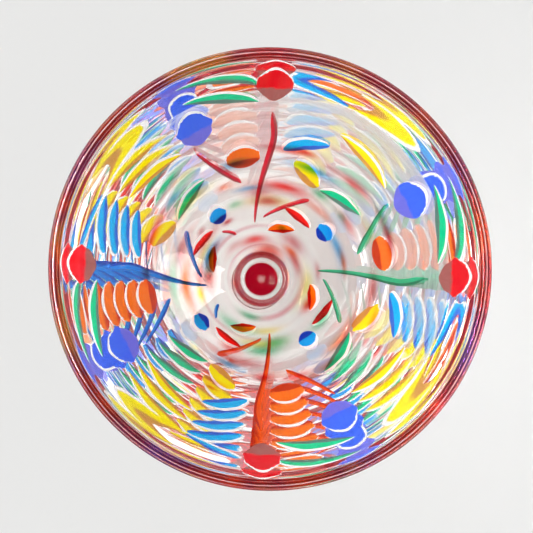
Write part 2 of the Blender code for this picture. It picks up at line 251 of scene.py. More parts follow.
class StageSettings(PropertyGroup):
    """Floor, light and camera."""

    floor_half: length("Floor Half", "Half of the floor's side", 1.5)
    floor_drop: length("Floor Drop", "How far the floor lies below the foot", 0.0004)
    floor_glow: amount("Floor Glow", "Light given by the floor itself", 0.575)
    room_light: amount("Room Light", "Light from all round", 1.0)
    lamp_power: amount("Lamp Power", "Power of the soft lamp in watts", 14.0)
    lamp_size: length("Lamp Size", "Side of the soft lamp", 0.25)
    lamp_place: position("Lamp Place", "Where the soft lamp hangs", (-0.28, 0.02, 0.60))
    lamp_aim: position("Lamp Aim", "What the soft lamp points at", (0.0, 0.0, 0.06))
    aim_offset: position("Aim Offset", "Camera's aim from the middle of the thread",
                         (-0.0011, 0.0005, 0.0))
    distance: amount("Distance", "Camera distance in rim radii", 10.0)
    lean: angle("Lean", "Camera's lean from straight above", 2.3)
    lean_azimuth: angle("Lean Azimuth", "Side that the camera leans to", 232)
    fill: share("Fill", "Share of the picture's half width that the rim radius fills", 0.833)


# ---- Meshes -------------------------------------------------------------------------------------
def outward_sign(points, quads, tris):
    """1 if the faces point outwards and -1 if not, from the sign of the enclosed volume."""
    corners = np.concatenate([quads[:, [0, 1, 2]], quads[:, [0, 2, 3]], tris])
    a, b, c = (points[corners[:, i]] for i in range(3))
    return 1 if np.einsum("ij,ij->", a, np.cross(b, c)) > 0 else -1


def add_surface(name, grid, materials, node=None, ring=False, marks=None, face_slots=None):
    """Make one closed piece from a grid of points whose columns run round it.

    Faces join each row to the next. The first and last rows are single points closed by fans,
    unless ring is set: then the last row joins the first. marks are named numbers on the grid,
    and face_slots gives each row of faces its material's number.
    """
    rows, columns = grid.shape[:2]
    index = np.arange(rows * columns).reshape(rows, columns)
    upper = index if ring else index[1:-2]
    lower = np.roll(index, -1, axis=0) if ring else index[2:-1]
    right = np.roll(np.arange(columns), -1)
    quads = np.stack([upper, lower, lower[:, right], upper[:, right]], axis=-1).reshape(-1, 4)
    quad_rows = np.repeat(np.arange(len(upper)) + (0 if ring else 1), columns)
    if ring:
        tris = np.zeros((0, 3), dtype=int)
        tri_rows = np.zeros(0, dtype=int)
    else:
        first = np.stack([np.full(columns, index[0, 0]), index[1], index[1, right]], axis=-1)
        last = np.stack([index[-2], np.full(columns, index[-1, 0]), index[-2, right]], axis=-1)
        tris = np.concatenate([first, last])
        tri_rows = np.concatenate([np.zeros(columns, int), np.full(columns, rows - 2)])
    points = grid.reshape(-1, 3)
    if outward_sign(points, quads, tris) < 0:
        quads, tris = quads[:, ::-1], tris[:, ::-1]
    used = np.unique(np.concatenate([quads.ravel(), tris.ravel()]))
    renumber = np.zeros(len(points), dtype=int)
    renumber[used] = np.arange(len(used))
    mesh = bpy.data.meshes.new(name)
    mesh.from_pydata(points[used].tolist(), [],
                     renumber[quads].tolist() + renumber[tris].tolist())
    corners = np.concatenate([quads.ravel(), tris.ravel()])
    uv = np.stack([corners % columns / columns, corners // columns / max(rows - 1, 1)], axis=-1)
    mesh.uv_layers.new(name="UVMap").data.foreach_set("uv", uv.astype(np.float32).ravel())
    for label, values in (marks or {}).items():
        if values.ndim == 3:
            layer = mesh.attributes.new(label, "FLOAT_COLOR", "POINT")
            rgba = np.concatenate([values.reshape(-1, 3), np.ones((len(points), 1))], axis=1)
            layer.data.foreach_set("color", rgba[used].astype(np.float32).ravel())
        else:
            layer = mesh.attributes.new(label, "FLOAT", "POINT")
            layer.data.foreach_set("value", values.reshape(-1)[used].astype(np.float32))
    mesh.shade_smooth()
    for material in materials:
        mesh.materials.append(material)
    if face_slots is not None:
        rows_of = np.concatenate([quad_rows, tri_rows])
        mesh.polygons.foreach_set("material_index", face_slots[rows_of].astype(np.int32))
    mesh.validate()
    mesh.update()
    piece = bpy.data.objects.new(name, mesh)
    bpy.context.scene.collection.objects.link(piece)
    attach(piece, "root")
    if node:
        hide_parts(node)
    return piece


def around(count):
    """Angles of even steps all the way round."""
    return np.arange(count) * math.tau / count


def in_space(radius, height, turns):
    """Points in space: (r cos a, r sin a, z)."""
    x, y = radius * np.cos(turns), radius * np.sin(turns)
    return np.stack([x, y, np.broadcast_to(height, x.shape)], axis=-1)


def turn(profile, columns=TURN_COLUMNS):
    """Grid of a profile of (radius, height) rows turned round Z."""
    return in_space(profile[:, :1], profile[:, 1:], around(columns))


def arc(centre, radius, start, end, count):
    """Points on an arc in the profile plane; degrees, 0 outwards and 90 up."""
    a = np.radians(np.linspace(start, end, count))
    return np.stack([centre[0] + radius * np.cos(a), centre[1] + radius * np.sin(a)], axis=-1)


def smooth_path(points, t):
    """Smooth curve through the points at the values t from 0 to 1 (Catmull-Rom)."""
    points = np.array(points, dtype=float)
    ends = np.concatenate([[2 * points[0] - points[1]], points, [2 * points[-1] - points[-2]]])
    spans = len(points) - 1
    span = np.minimum((t * spans).astype(int), spans - 1)
    u = (t * spans - span)[:, None]
    p0, p1, p2, p3 = (ends[span + i] for i in range(4))
    return 0.5 * (2 * p1 + (p2 - p0) * u + (2 * p0 - 5 * p1 + 4 * p2 - p3) * u ** 2
                  + (3 * p1 - p0 - 3 * p2 + p3) * u ** 3)


class Wall:
    """The bowl's wall: its inside curve, its thickness and its outside.

    The inside is a cubic curve from the lip, leaning by lip_lean, to the level floor. A share
    runs from 0 at the lip to 1 at the middle of the floor, evenly along the curve. Thickness is
    lip + (flank - lip) s(share / fill_out) + (base - flank) share^3, where s is 3 t^2 - 2 t^3.
    """

    def __init__(self, sizes):
        """Work out the inside curve and its length."""
        self.sizes = sizes
        middle = sizes.rim_radius - sizes.thread_radius
        lip = np.array([middle - sizes.lip_wall / 2, sizes.wall_top])
        floor = np.array([0.0, sizes.wall_top - sizes.depth])
        lean = np.array([-math.sin(sizes.lip_lean), -math.cos(sizes.lip_lean)])
        flank = lip + sizes.flank_pull * sizes.depth * lean
        level = floor + np.array([sizes.floor_pull * lip[0], 0.0])
        t = np.linspace(0.0, 1.0, CURVE_SAMPLES)[:, None]
        self.points = ((1 - t) ** 3 * lip + 3 * t * (1 - t) ** 2 * flank
                       + 3 * t ** 2 * (1 - t) * level + t ** 3 * floor)
        down = ((1 - t) ** 2 * (flank - lip) + 2 * t * (1 - t) * (level - flank)
                + t ** 2 * (floor - level))
        self.down = down / np.linalg.norm(down, axis=1)[:, None]
        steps = np.linalg.norm(np.diff(self.points, axis=0), axis=1)
        self.along = np.concatenate([[0.0], np.cumsum(steps)])
        self.length = self.along[-1]

    def at(self, values, shares):
        """Values of a curve table at some shares."""
        place = shares * self.length
        return np.stack([np.interp(place, self.along, values[:, i]) for i in range(2)], axis=-1)

    def inside(self, shares):
        """Radius and height of the inside."""
        return self.at(self.points, shares)

    def outward(self, shares):
        """Unit direction out of the wall, as radius and height."""
        down = self.at(self.down, shares)
        return np.stack([-down[..., 1], down[..., 0]], axis=-1)

    def outside(self, shares, lift=0.0):
        """Radius and height of the outside, or of points that far off it."""
        sizes = self.sizes
        t = np.minimum(shares / sizes.fill_out, 1.0)
        thick = (sizes.lip_wall + (sizes.flank_wall - sizes.lip_wall) * t * t * (3 - 2 * t)
                 + (sizes.base_wall - sizes.flank_wall) * shares ** 3)
        return self.inside(shares) + (thick + lift)[..., None] * self.outward(shares)

    def place(self, turns, shares, lift):
        """Points in space a height off the outside."""
        spot = self.outside(shares, lift)
        return in_space(spot[..., 0], spot[..., 1], turns)


# ---- Materials ----------------------------------------------------------------------------------
def new_material(name):
    """An empty material and its node tree."""
    material = bpy.data.materials.new(name)
    material.use_nodes = True
    material.node_tree.nodes.clear()
    return material, material.node_tree


def add_node(tree, kind, sockets=None, **settings):
    """Add a node, set its properties, and fill its inputs with values or links."""
    node = tree.nodes.new(kind)
    for key, value in settings.items():
        setattr(node, key, value)
    for key, value in (sockets or {}).items():
        if isinstance(value, bpy.types.NodeSocket):
            tree.links.new(value, node.inputs[key])
        else:
            node.inputs[key].default_value = value
    return node


def math_node(tree, operation, *values):
    """Output of a Math node."""
    return add_node(tree, "ShaderNodeMath", dict(enumerate(values)), operation=operation).outputs[0]


def mix_color(tree, factor, first, second, blend="MIX"):
    """Output of a Mix node between two colours."""
    node = add_node(tree, "ShaderNodeMix", {0: factor, 6: first, 7: second}, data_type="RGBA",
                    blend_type=blend)
    return node.outputs[2]


def mix_shader(tree, factor, first, second):
    """Output of a Mix Shader node."""
    node = add_node(tree, "ShaderNodeMixShader", {0: factor, 1: first, 2: second})
    return node.outputs[0]


def add_shader(tree, first, second):
    """Output of an Add Shader node."""
    return add_node(tree, "ShaderNodeAddShader", {0: first, 1: second}).outputs[0]


def map_range(tree, value, low, high, to=1.0, curve="LINEAR"):
    """Output of a Map Range node: 0 at low and to at high."""
    return add_node(tree, "ShaderNodeMapRange", {"Value": value, "From Min": low, "From Max": high,
                                                 "To Max": to}, interpolation_type=curve).outputs[0]


def mark(tree, name, output="Fac"):
    """A named mark on the mesh."""
    return add_node(tree, "ShaderNodeAttribute", attribute_name=name).outputs[output]


def backfacing(tree):
    """1 where the surface is met from behind."""
    return add_node(tree, "ShaderNodeNewGeometry").outputs["Backfacing"]


def shader_node(tree, kind, **sockets):
    """Output of a shader, whose sockets are given by name with _ for each space."""
    named = {name.replace("_", " "): value for name, value in sockets.items()}
    return add_node(tree, "ShaderNode" + kind, named).outputs[0]


def opaque(rgb):
    """A colour with full alpha."""
    return (*rgb, 1.0)


def object_place(tree, scale=(1.0, 1.0, 1.0)):
    """Object coordinates, scaled along each axis."""
    place = add_node(tree, "ShaderNodeTexCoord").outputs["Object"]
    return add_node(tree, "ShaderNodeMapping", {"Vector": place, "Scale": scale}).outputs[0]


def noise(tree, place, scale, detail=2.0, roughness=0.5):
    """Noise from 0 to 1."""
    node = add_node(tree, "ShaderNodeTexNoise", {"Vector": place, "Scale": scale,
                                                 "Detail": detail, "Roughness": roughness})
    return node.outputs["Fac"]


def bump(tree, height, strength, distance):
    """Normal bent by a height."""
    node = add_node(tree, "ShaderNodeBump", {"Height": height, "Strength": strength,
                                             "Distance": distance})
    return node.outputs[0]


def finish_tree(tree, surface):
    """Link the surface to the material's output."""
    add_node(tree, "ShaderNodeOutputMaterial", {"Surface": surface})


def flow_normal(tree, strength):
    """Slow waves in fire-polished glass, with fainter short ones."""
    long_waves = noise(tree, object_place(tree, (1.0, 1.0, 0.6)), 55.0, detail=1.0)
    short_waves = noise(tree, object_place(tree, (1.0, 1.0, 2.2)), 170.0, detail=1.0)
    height = math_node(tree, "MULTIPLY_ADD", short_waves, 0.30, long_waves)
    return bump(tree, height, strength, distance=0.0015)


def clear_glass(name, skin_ior):
    """Blown clear glass whose inner reflections carry the enamel's colours round the wall.

    Light inside the glass meets the stronger bend INNER_IOR, which keeps it in, and skin_ior
    softens what the face mirrors from outside. The tint is the mark "tint", which carries painted
    coloured shadows and painted ruby rings besides the glass's blush, and the mark "haze" is the
    share of WALL_GLOW_LIGHT that the back faces give off as a painted glow, strongest in the lower
    wall.
    """
    material, tree = new_material(name)
    tint = mark(tree, "tint", "Color")
    normal = flow_normal(tree, strength=0.03)
    through = shader_node(tree, "BsdfRefraction", Color=tint, Roughness=0.0, IOR=GLASS_IOR,
                          Normal=normal)
    gloss = shader_node(tree, "BsdfGlossy", Roughness=0.0, Normal=normal)
    skin = shader_node(tree, "Fresnel", IOR=skin_ior, Normal=normal)
    front = mix_shader(tree, skin, through, gloss)
    back = shader_node(tree, "BsdfGlass", Roughness=0.0, IOR=INNER_IOR)
    # painted glow: the lower wall gives off light in its tint
    strength = math_node(tree, "MULTIPLY", mark(tree, "wall_glow"), WALL_GLOW_LIGHT)
    milk_and_glow = shader_node(tree, "Emission", Color=tint, Strength=strength)
    finish_tree(tree, mix_shader(tree, backfacing(tree), front, add_shader(tree, back, milk_and_glow)))
    return material


def melted_joint():
    """Where two glass pieces are melted together there is no surface to see."""
    known = bpy.data.materials.get("melted_joint")
    if known:
        return known
    material, tree = new_material("melted_joint")
    finish_tree(tree, shader_node(tree, "BsdfTransparent"))
    return material


def plain_glass(name, rgb):
    """Fire-polished glass of one tint, for the collars and the foot."""
    material, tree = new_material(name)
    finish_tree(tree, shader_node(tree, "BsdfGlass", Color=opaque(rgb), Roughness=0.0,
                                  IOR=GLASS_IOR, Normal=flow_normal(tree, strength=0.12)))
    return material


def cased_glass(name, case, core, core_radius):
    """Ruby glass drawn over a pale core: the core shows where the distance from the axis is less
    than core_radius."""
    material, tree = new_material(name)
    place = object_place(tree, (1.0, 1.0, 0.0))
    reach = add_node(tree, "ShaderNodeVectorMath", {0: place}, operation="LENGTH").outputs["Value"]
    cloud = noise(tree, object_place(tree, (1.0, 1.0, 0.3)), 420.0)
    reach = math_node(tree, "MULTIPLY_ADD", cloud, core_radius, reach)
    casing = map_range(tree, reach, 0.7 * core_radius, 1.7 * core_radius, curve="SMOOTHSTEP")
    tone = mix_color(tree, casing, opaque(core), opaque(case))
    glass = shader_node(tree, "BsdfGlass", Color=tone, Roughness=0.02, IOR=GLASS_IOR)
    milk_and_glow = mix_shader(tree, 0.5, shader_node(tree, "BsdfTranslucent", Color=tone),
                      shader_node(tree, "BsdfDiffuse", Color=tone))
    finish_tree(tree, mix_shader(tree, 0.7, glass, milk_and_glow))
    return material


def streaked_glass(name, light, stops):
    """Glass drawn thin round the lip: its tone drifts slowly along the thread through the
    stops, which partly stand in for coloured light carried in the glass, and fine lines of
    painted highlight follow it."""
    material, tree = new_material(name)
    cloud = noise(tree, object_place(tree), 26.0)
    drift = add_node(tree, "ShaderNodeValToRGB", {"Fac": cloud})
    ramp = drift.color_ramp
    for place, rgb in zip(np.linspace(0.36, 0.64, len(stops)), stops):
        stop = ramp.elements.new(place)
        stop.color = opaque(rgb)
    ramp.elements.remove(ramp.elements[0])
    ramp.elements.remove(ramp.elements[-1])
    uv = add_node(tree, "ShaderNodeUVMap", uv_map="UVMap").outputs[0]
    round_section = add_node(tree, "ShaderNodeSeparateXYZ", {0: uv}).outputs[1]
    # painted highlight lines follow the ribs round the thread's section
    phase = math_node(tree, "MULTIPLY_ADD", round_section, math.tau * THREAD_RIBS, cloud)
    lines = math_node(tree, "SINE", phase, 0.0)
    thin = map_range(tree, lines, low=0.35, high=0.85)
    tone = mix_color(tree, thin, drift.outputs[0], opaque(light))
    finish_tree(tree, shader_node(tree, "BsdfGlass", Color=tone, Roughness=0.0, IOR=GLASS_IOR,
                                  Normal=flow_normal(tree, strength=0.1)))
    return material


def enamel(name, face, deep):
    """Fired enamel: bright on its upper side, painted shade on its lower, streaked by the brush.

    The mark "side" runs from -1 on the upper side to 1 on the lower one, and is less than -1 on
    the clear edge of flux, which is painted white: a painted highlight of the light through it.
    """
    material, tree = new_material(name)
    side = mark(tree, "side")
    grain = noise(tree, object_place(tree), 260.0, detail=3.0, roughness=0.6)
    edge = math_node(tree, "MULTIPLY_ADD", grain, 0.45, side)
    # painted shade: the lower side of each piece takes its darker colour
    painted_shade = map_range(tree, edge, low=0.36, high=0.50)
    tone = mix_color(tree, painted_shade, opaque(face), opaque(deep))
    # painted highlight: the clear flux is painted white, in place of the bright light seen through
    # it
    flux = map_range(tree, side, low=-1.02, high=-1.10)
    uv = add_node(tree, "ShaderNodeUVMap", uv_map="UVMap").outputs[0]
    strokes = add_node(tree, "ShaderNodeMapping", {"Vector": uv, "Scale": (60.0, 3.0, 1.0)})
    brush = noise(tree, strokes.outputs[0], 1.0)
    streak = map_range(tree, brush, low=0.35, high=0.7, to=0.22)
    tone = mix_color(tree, streak, tone, WHITE, "SOFT_LIGHT")
    tone = mix_color(tree, flux, tone, WHITE)
    normal = bump(tree, brush, strength=0.25, distance=0.0002)
    front = shader_node(tree, "BsdfDiffuse", Color=tone, Normal=normal)
    through = shader_node(tree, "BsdfTranslucent", Color=tone, Normal=normal)
    body = mix_shader(tree, 0.88, front, through)
    gloss = shader_node(tree, "BsdfGlossy", Roughness=0.08, Normal=normal)
    skin = shader_node(tree, "Fresnel", IOR=1.35, Normal=normal)
    # painted glow: the enamel gives off light in its own colour
    glow = shader_node(tree, "Emission", Color=tone, Strength=BACKLIGHT)
    outer = add_shader(tree, mix_shader(tree, skin, body, gloss), glow)
    clear = shader_node(tree, "BsdfTransparent")
    finish_tree(tree, mix_shader(tree, backfacing(tree), outer, clear))
    return material


def enamel_of(colors, name):
    """The enamel of that name, made once."""
    known = bpy.data.materials.get("fired_" + name)
    return known or enamel("fired_" + name, getattr(colors, name), getattr(colors, name + "_shade"))


# ---- Turned pieces ------------------------------------------------------------------------------
def make_bowl(sizes, colors):
    """The bowl: up the inside from the axis, over the round lip and down the outside.

    The inside carries turning ripples: height ripple sin(2 pi (RIPPLES share + 0.35 sin 2a)),
    fading out at the lip and at the axis, where a is the angle round the bowl. The mark "haze",
    the strength of the wall's painted glow, grows down the outside, from 0 at a share of 0.45 to
    1 at 0.85. The underside is left clear where the collar is melted on.
    """
    wall = Wall(sizes)
    shares = np.linspace(0.0, 1.0, WALL_ROWS + 1)
    inner, outer = wall.inside(shares), wall.outside(shares)
    inner[-1, 0] = outer[-1, 0] = 0.0
    middle = (inner[0] + outer[0]) / 2
    lean = math.degrees(sizes.lip_lean)
    lip = arc(middle, sizes.lip_wall / 2, 180 - lean, -lean, LIP_ROWS + 1)[1:-1]
    profile = np.concatenate([inner[::-1], lip, outer])
    grid = turn(profile)
    turns = around(TURN_COLUMNS)
    wave = np.sin(math.tau * (RIPPLES * shares[:, None] + 0.35 * np.sin(2 * turns)))
    lift = sizes.ripple * wave * np.sin(math.pi * shares[:, None])
    out = wall.outward(shares)
    grid[:WALL_ROWS + 1] += in_space(out[:, :1] * lift, out[:, 1:] * lift, turns)[::-1]
    crest = WALL_ROWS + LIP_ROWS // 2
    rows = np.arange(len(profile))
    face_slots = (rows >= crest).astype(int)
    face_slots[(rows > crest) & (profile[:, 0] < JOINT_RADIUS)] = 2
    tint = np.ones((*grid.shape[:2], 3))
    # painted light: coloured shadows of the enamel and images of the ruby stem in the wall's tint
    tint[:WALL_ROWS + 1] = wall_tint_and_painted_light(wall, shares[::-1], turns, colors)
    # painted glow, strongest down the lower wall
    wall_glow = np.zeros(grid.shape[:2])
    wall_glow[-WALL_ROWS - 1:] = np.clip((shares - 0.45) / 0.40, 0.0, 1.0)[:, None]
    skins = [clear_glass("clear_glass_inside", INSIDE_SKIN_IOR),
             clear_glass("clear_glass_outside", OUTSIDE_SKIN_IOR), melted_joint()]
    add_surface("blown_bowl", grid, skins, "bowl",
                marks={"tint": tint, "wall_glow": wall_glow}, face_slots=face_slots)


def wall_tint_and_painted_light(wall, shares, turns, colors):
    """Tint of the wall's inside with painted light in it, on rows of shares and columns of turns.

    It goes from clear at the lip to blush below. Soft clouds of the enamel's colours lie on the
    lower wall as painted coloured shadows, each exp(-d^2) of the distance from its middle. Each
    ruby ring round the stem is a painted image of the stem seen through the thick glass,
    sin^2(pi (radius - start) / (end - start)), stronger on one side.
    """
    rng = np.random.default_rng(HAND_SEED)
    shares, turns = shares[:, None], turns[None, :]
    radius = wall.inside(shares)[..., 0]
    fade = np.clip((shares - 0.10) / 0.5, 0.0, 1.0)[..., None]
    tint = 1 - fade * (1 - np.array(colors.blush))
    cloud_colors = [colors.scarlet, colors.vine_red, colors.orange, colors.green, colors.scarlet,
              colors.yellow, colors.sky_blue, colors.vine_red]
    # painted coloured shadows of the enamel
    for i in range(PAINTED_SHADOW_CLOUDS):
        share_at, turn_at = rng.uniform(0.45, 0.93), rng.uniform(0.0, math.tau)
        size, long = rng.uniform(0.0012, 0.0034), rng.uniform(1.0, 3.0)
        spread = np.angle(np.exp(1j * (turns - turn_at))) * radius / (size * long)
        drop = (shares - share_at) * wall.length / size
        weight = rng.uniform(0.45, 1.00) * np.exp(-spread ** 2 - drop ** 2)[..., None]
        tint = tint * (1 - weight * (1 - np.array(cloud_colors[i % len(cloud_colors)])))
    # painted images of the ruby stem
    for start, end, turn_at, strength in PAINTED_STEM_RINGS:
        across = np.clip((radius - start) / (end - start), 0.0, 1.0)
        wave = np.sin(math.pi * across) ** 2
        side = 0.10 + 0.90 * np.maximum(np.cos(turns - math.radians(turn_at)), 0.0) ** 2
        weight = (strength * wave * side)[..., None]
        tint = tint * (1 - weight * (1 - np.array(colors.ring)))
    return np.clip(tint, 0.0, 1.0)


def make_thread(sizes, colors):
    """The lip thread: a round section with fine ribs, r (1 - ribs (1 - cos(THREAD_RIBS a))).

    It is melted onto the wall, so its underside dips just below the wall's top.
    """
    a = around(THREAD_POINTS)
    radius = sizes.thread_radius * (1 - sizes.thread_ribs * (1 - np.cos(THREAD_RIBS * a)))
    centre = (sizes.rim_radius - sizes.thread_radius, THREAD_LOW.z + sizes.thread_radius)
    section = np.stack([centre[0] + radius * np.cos(a), centre[1] + radius * np.sin(a)], axis=-1)
    underside = np.sin(a) < -0.9
    section[:, 1] = np.where(underside, sizes.wall_top - sizes.melt, section[:, 1])
    skin = streaked_glass("thread_glass", colors.thread_highlight,
                          [colors.thread_violet, colors.thread_ruby, colors.thread_flame,
                           colors.thread_ruby, colors.thread_amber])
    add_surface("melted_lip_thread", turn(section), [skin], "lip_thread", ring=True)


def collar_side(sizes, base):
    """A collar's rounded side from the top down: waist + (wide - waist) sin a."""
    a = np.linspace(0.0, math.pi, COLLAR_ROWS + 1)
    radius = sizes.collar_waist + (sizes.collar_radius - sizes.collar_waist) * np.sin(a)
    return np.stack([radius, base + sizes.collar_height * (1 + np.cos(a)) / 2], axis=-1)


def add_collar(name, profile, node):
    """Turn a collar whose top and base are melted onto their neighbours inside the joint."""
    face_slots = (np.maximum(profile[:, 0], np.roll(profile[:, 0], -1)) < JOINT_RADIUS).astype(int)
    skins = [bpy.data.materials["collar_glass"], melted_joint()]
    add_surface(name, turn(profile, STEM_COLUMNS), skins, node,
                face_slots=face_slots)


def make_upper_collar(sizes, bowl_sizes):
    """Upper collar: its dished top follows the underside of the bowl, just clear of it."""
    wall = Wall(bowl_sizes)
    base = UPPER_LOW.z
    under = wall.outside(np.linspace(1.0, 0.6, 200))
    radii = np.linspace(0.0, sizes.collar_waist, 10)[:-1]
    gap = under[0, 1] - base - sizes.collar_height
    top = np.stack([radii, np.interp(radii, under[:, 0], under[:, 1]) - gap], axis=-1)
    side = collar_side(sizes, base)
    side[0, 1] = np.interp(sizes.collar_waist, under[:, 0], under[:, 1]) - gap
    foot = np.array([[MELTED_RADIUS, base], [0.0, base]])
    add_collar("shaped_upper_collar", np.concatenate([top, side, foot]), "upper_collar")


def make_lower_collar(sizes):
    """Lower collar: a flat top and base with a rounded side."""
    side = collar_side(sizes, LOWER_LOW.z)
    top = np.array([[0.0, LOWER_HIGH.z], [MELTED_RADIUS, LOWER_HIGH.z]])
    base = np.array([[MELTED_RADIUS, LOWER_LOW.z], [0.0, LOWER_LOW.z]])
    add_collar("shaped_lower_collar", np.concatenate([top, side, base]), "lower_collar")


def make_stem(sizes, colors):
    """The stem: radius end - (end - waist) sin(pi t) down its height."""
    t = np.linspace(0.0, 1.0, STEM_ROWS + 1)
    radius = sizes.stem_end - (sizes.stem_end - sizes.stem_waist) * np.sin(math.pi * t)
    side = np.stack([radius, STEM_HIGH.z + (STEM_LOW.z - STEM_HIGH.z) * t], axis=-1)
    half = sizes.stem_end / 2
    top = np.array([[0.0, STEM_HIGH.z], [half, STEM_HIGH.z]])
    base = np.array([[half, STEM_LOW.z], [0.0, STEM_LOW.z]])
    skin = cased_glass("ruby_stem_glass", colors.ruby, colors.ruby_core, CORE_RADIUS)
    add_surface("drawn_stem", turn(np.concatenate([top, side, base]), STEM_COLUMNS), [skin],
                "stem")


def make_foot(sizes, colors):
    """The foot: top h - (h - edge) (1 - (1 - t)^2) outwards, a round edge, a flat rest ring and a
    hollow that rises as 1 - t^2 inside it."""
    height = FOOT_HIGH.z
    reach = sizes.foot_radius - sizes.edge_round - sizes.foot_neck
    t = np.linspace(0.0, 1.0, FOOT_TOP_ROWS + 1)
    fall = (height - sizes.foot_edge) * (1 - (1 - t) ** 2)
    top = np.stack([sizes.foot_neck + reach * t, height - fall], axis=-1)
    rim = sizes.foot_radius - sizes.edge_round
    edge = np.concatenate([arc((rim, sizes.foot_edge - sizes.edge_round), sizes.edge_round,
                               85, 0, 10),
                           arc((rim, sizes.edge_round), sizes.edge_round, 0, -90, 12)])
    inner = rim - sizes.rest_width
    t = np.linspace(0.0, 1.0, FOOT_HOLLOW_ROWS + 1)
    hollow = np.stack([inner * (1 - t), sizes.hollow_rise * (1 - (1 - t) ** 2)], axis=-1)
    crown = np.array([[0.0, height], [sizes.foot_neck / 2, height]])
    profile = np.concatenate([crown, top, edge, hollow])
    add_surface("spun_foot", turn(profile, FOOT_COLUMNS),
                [plain_glass("foot_glass", colors.clear)], "foot")


# ---- Enamel -------------------------------------------------------------------------------------
def hand(seed):
    """Random phases that make one stroke differ from the next."""
    return np.random.default_rng(HAND_SEED + seed).uniform(0.0, math.tau, 6)


def stroke_steps():
    """Steps from 0 to 1 along a stroke, closer together at its ends."""
    return (1 - np.cos(np.linspace(0.0, math.pi, STROKE_ROWS + 1))) / 2


def brushed(wall, enamel_sizes, start, path, half_width, proud, outline, seed, flux=0.0):
    """Grid and side mark of one brushed piece of enamel.

    t runs along a smooth path of (degrees, share) points and a round the section. Across the
    path it reaches half_width outline(t) cos a, with a slow waver, and on its upper side a thin
    clear edge of flux reaches further. Off the wall it stands
    proud sqrt(outline) (1 - |c|^p)^(1/p), where c is the reach over the width and p DOME_POWER,
    and underneath it lies flat, sunk in. The mark is c.
    """
    phase, t = hand(seed), stroke_steps()
    chart = smooth_path(path, t)
    radius = wall.outside(chart[:, 1])[:, 0]
    flat = np.stack([np.radians(chart[:, 0]) * radius.mean(), chart[:, 1] * wall.length], axis=-1)
    slope = np.gradient(flat, t, axis=0)
    slope /= np.linalg.norm(slope, axis=1)[:, None]
    across = np.stack([-slope[:, 1], slope[:, 0]], axis=-1)
    full = outline(t)
    upper, lower = (
        half_width * full * (1 + enamel_sizes.waver * (np.sin(slow * t + phase[i])
                                                       + 0.6 * np.sin(quick * t + phase[i + 1])))
        for slow, quick, i in ((7, 17, 0), (8, 19, 2)))
    edge = flux * np.sqrt(full / max(full.max(), TINY))
    a = around(STROKE_COLUMNS)
    wide = np.where(np.cos(a) > 0, lower[:, None], (upper + edge)[:, None])
    reach = wide * np.cos(a)
    side = reach / np.maximum(np.where(np.cos(a) > 0, lower[:, None], upper[:, None]), TINY)
    turns = (start + np.radians(chart[:, 0])[:, None]
             + across[:, :1] * reach / radius[:, None])
    shares = chart[:, 1][:, None] + across[:, 1:] * reach / wall.length
    lift = enamel_lift(enamel_sizes, side, a, t, full, proud, phase)
    return wall.place(turns, shares, lift), side


def enamel_lift(enamel_sizes, side, a, t, full, proud, phase):
    """Height off the wall: a dome with faint ridges, a thin film over the flux, a flat base."""
    dome = np.maximum(1 - np.abs(side) ** DOME_POWER, 0.0) ** (1 / DOME_POWER)
    ridges = 1 + 0.05 * np.sin(5 * a + phase[4]) * np.sin(9 * t + phase[5])[:, None]
    tall = proud * np.sqrt(full / max(full.max(), TINY))[:, None] * ridges
    lift = np.where(np.sin(a) > TINY, tall * np.maximum(dome, 0.12 * np.abs(np.sin(a))), 0.0)
    return np.where(np.sin(a) < -TINY, -enamel_sizes.sink, lift)


def dropped(wall, enamel_sizes, start, outline, seed):
    """Grid and side mark of one drop of enamel, with a clear edge of flux towards the lip.

    y runs from the lip side (-1, or further by the flux) to the floor side (1), and across it
    the drop reaches half_width sqrt(1 - y^2) (1 - pinch y^2) cos a, leaning down the wall by
    slant for each step across. The mark is y inside the drop and less than -1 in the flux, which
    is the same drop moved up by the flux's width.
    """
    turned, level, half_degrees, half_drop, pinch, slant = outline
    half_width = math.radians(half_degrees) * wall.outside(np.array([level]))[0, 0]
    phase, t = hand(seed), stroke_steps()
    drop = half_drop * wall.length
    flux = enamel_sizes.flux
    y = (2 * t - 1)[:, None]
    full = np.sqrt(np.maximum(1 - y * y, 0.0)) * (1 - pinch * y * y)
    a = around(STROKE_COLUMNS)
    wave = np.sin(3 * math.pi * y + phase[0]) * np.sin(2 * a + phase[1])
    wobble = 1 + enamel_sizes.waver * wave
    across = half_width * full * wobble * np.cos(a)
    down = y * (drop + flux / 2) - flux / 2
    inner = down / drop
    room = np.sqrt(np.maximum(1 - inner ** 2, 0.0)) * (1 - pinch * inner ** 2)
    inside = (np.abs(across) <= half_width * room * wobble * 1.0001) & (inner >= -1)
    side = np.where(inside, inner, FLUX_MARK)
    radius = wall.outside(level + down[:, 0] / wall.length)[:, 0][:, None]
    turns = start + math.radians(turned) + across / radius
    shares = level + (down + slant * across) / wall.length
    sides = np.broadcast_to(side, across.shape)
    lift = enamel_lift(enamel_sizes, np.abs(np.cos(a)) * np.ones_like(y), a, t, full[:, 0],
                       enamel_sizes.height, phase)
    return wall.place(turns, shares, lift), sides


def leaf_outline(bluntness):
    """Pointed at both ends: sin(pi t) to a power, which is lower for a blunter leaf."""
    return lambda t: np.maximum(np.sin(math.pi * t), 0.0) ** bluntness


def vine_outline(t):
    """Full from a tenth to a third of its length, thinner to its far end, round at both ends."""
    ends = np.sqrt(np.maximum(1 - np.abs(2 * t - 1) ** 14, 0.0))
    return ends * np.minimum(np.minimum(0.45 + 5 * t, 1.0), 0.45 + 0.85 * (1 - t))


